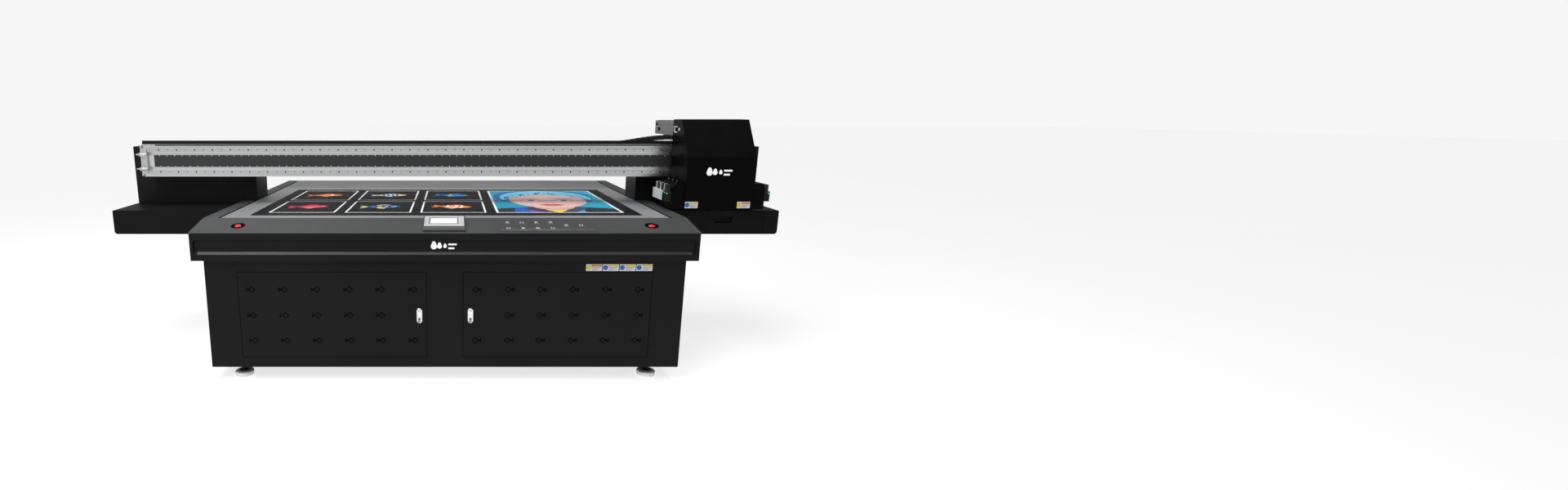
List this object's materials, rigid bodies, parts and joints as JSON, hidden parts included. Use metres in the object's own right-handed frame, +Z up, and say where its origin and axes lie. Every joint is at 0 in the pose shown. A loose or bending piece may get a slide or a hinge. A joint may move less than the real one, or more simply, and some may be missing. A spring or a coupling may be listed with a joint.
{
  "type": "flatbed uv printer",
  "caption": "Large flatbed UV printer: vacuum table on a cabinet, travelling gantry with a parked print head, curing lamps, side wings and doors.",
  "frame": {"origin": "on the floor, under the middle of the machine's footprint", "axes": "+X to the operator's right along the gantry, +Y away from the operator, +Z up"},
  "size_m": [4.476, 2.31, 1.546],
  "materials": {
    "black_paint": "fine satin powder coat",
    "deck_paint": "satin powder coat",
    "rear_deck_paint": "matt paint",
    "frame_paint": "satin paint",
    "silver_paint": "satin silver paint",
    "bed_aluminium": "anodised, matt",
    "beam_aluminium": "brushed extrusion",
    "rail_steel": "ground",
    "magnet_cover": "dark cover strip",
    "black_plastic": "moulded",
    "white_plastic": "moulded",
    "red_plastic": "gloss",
    "chrome": "polished",
    "printed_sheet": "UV print on board",
    "screen_glass": "screen glass"
  },
  "bodies": {
    "base": {"apron": "black_paint", "control_deck": "deck_paint", "rear_deck": "rear_deck_paint", "vacuum_bed": "bed_aluminium", "touch_panel": "silver_paint", "button_panel": "deck_paint", "rail_cover_left": "deck_paint", "rail_cover_right": "deck_paint", "estop_collar_left": "black_plastic", "estop_collar_right": "black_plastic", "cabinet_front": "black_paint", "cabinet_back": "black_paint", "cabinet_floor": "black_paint", "cabinet_side_left": "black_paint", "cabinet_side_right": "black_paint", "foot_front_left": "white_plastic", "foot_front_right": "white_plastic", "foot_rear_left": "white_plastic", "foot_rear_right": "white_plastic", "frame_beam_front": "frame_paint", "frame_beam_rear": "frame_paint", "vacuum_blower": "silver_paint", "control_box": "silver_paint", "frame_side_left": "frame_paint", "frame_side_right": "frame_paint", "y_rail_left": "rail_steel", "y_rail_right": "rail_steel", "y_motor_left": "black_paint", "y_motor_right": "black_paint"},
    "gantry": {"gantry_beam": "beam_aluminium", "x_rail_upper": "rail_steel", "x_rail_lower": "rail_steel", "magnet_track": "magnet_cover", "chain_tray": "black_paint", "cable_chain": "black_plastic", "wing_left": "black_paint", "wing_right": "black_paint", "beam_end_left": "beam_aluminium", "beam_end_right": "beam_aluminium", "tower_left": "black_paint", "tower_right": "black_paint", "gantry_leg_left": "frame_paint", "gantry_leg_right": "frame_paint"},
    "x_carriage": {"x_slider": "beam_aluminium", "rear_box": "silver_paint", "cable_chain_end": "black_plastic"},
    "print_head": {"head_cover": "black_paint", "head_plate": "beam_aluminium", "uv_lamp_left": "black_paint", "uv_lamp_right": "black_paint"},
    "capping": {"capping_station": "black_plastic"},
    "drawer": {"waste_drawer": "black_paint"},
    "screw_left": {"y_screw_left": "rail_steel"},
    "screw_right": {"y_screw_right": "rail_steel"},
    "left_door": {"door_left": "black_paint"},
    "right_door": {"door_right": "black_paint"},
    "left_latch": {"latch_left": "chrome"},
    "right_latch": {"latch_right": "chrome"},
    "left_estop": {"estop_button_left": "red_plastic"},
    "right_estop": {"estop_button_right": "red_plastic"}
  },
  "joints": [
    {"name": "gantry_slide", "type": "slide", "parent": "base", "child": "gantry", "axis": [0, 1, 0], "range_m": [-0.3, 0.95]},
    {"name": "screw_left_spin", "type": "hinge", "parent": "base", "child": "screw_left", "pos_m": [-1.33, 0, 0.88], "axis": [0, 1, 0], "range_deg": [-2760, 8610]},
    {"name": "screw_right_spin", "type": "hinge", "parent": "base", "child": "screw_right", "pos_m": [1.33, 0, 0.88], "axis": [0, 1, 0], "range_deg": [-2760, 8610]},
    {"name": "carriage_slide", "type": "slide", "parent": "gantry", "child": "x_carriage", "axis": [1, 0, 0], "range_m": [-3.35, 0], "deforming": ["cable_chain"]},
    {"name": "head_lift", "type": "slide", "parent": "x_carriage", "child": "print_head", "axis": [0, 0, 1], "range_m": [0, 0.1]},
    {"name": "cap_lift", "type": "slide", "parent": "gantry", "child": "capping", "axis": [0, 0, 1], "range_m": [0, 0.02]},
    {"name": "drawer_slide", "type": "slide", "parent": "gantry", "child": "drawer", "axis": [0, -1, 0], "range_m": [0, 0.35]},
    {"name": "left_door_hinge", "type": "hinge", "parent": "base", "child": "left_door", "pos_m": [-1.213, -1.108, 0.411], "axis": [0, 0, -1], "range_deg": [0, 110]},
    {"name": "right_door_hinge", "type": "hinge", "parent": "base", "child": "right_door", "pos_m": [1.213, -1.108, 0.411], "axis": [0, 0, 1], "range_deg": [0, 110]},
    {"name": "left_latch_lift", "type": "hinge", "parent": "left_door", "child": "left_latch", "pos_m": [-0.152, -1.1155, 0.4568], "axis": [-1, 0, 0], "range_deg": [0, 35]},
    {"name": "right_latch_lift", "type": "hinge", "parent": "right_door", "child": "right_latch", "pos_m": [0.152, -1.1155, 0.4568], "axis": [-1, 0, 0], "range_deg": [0, 35]},
    {"name": "left_estop_press", "type": "slide", "parent": "base", "child": "left_estop", "axis": [0, 0.1883, -0.9821], "range_m": [0, 0.004], "stiffness_N_per_m": 2000, "springref_m": -0.002},
    {"name": "right_estop_press", "type": "slide", "parent": "base", "child": "right_estop", "axis": [0, 0.1883, -0.9821], "range_m": [0, 0.004], "stiffness_N_per_m": 2000, "springref_m": -0.002}
  ],
  "couplings": [
    {"joint": "screw_left_spin", "follows": "gantry_slide", "rad_per_m": 157.08},
    {"joint": "screw_right_spin", "follows": "gantry_slide", "rad_per_m": 157.08}
  ]
}
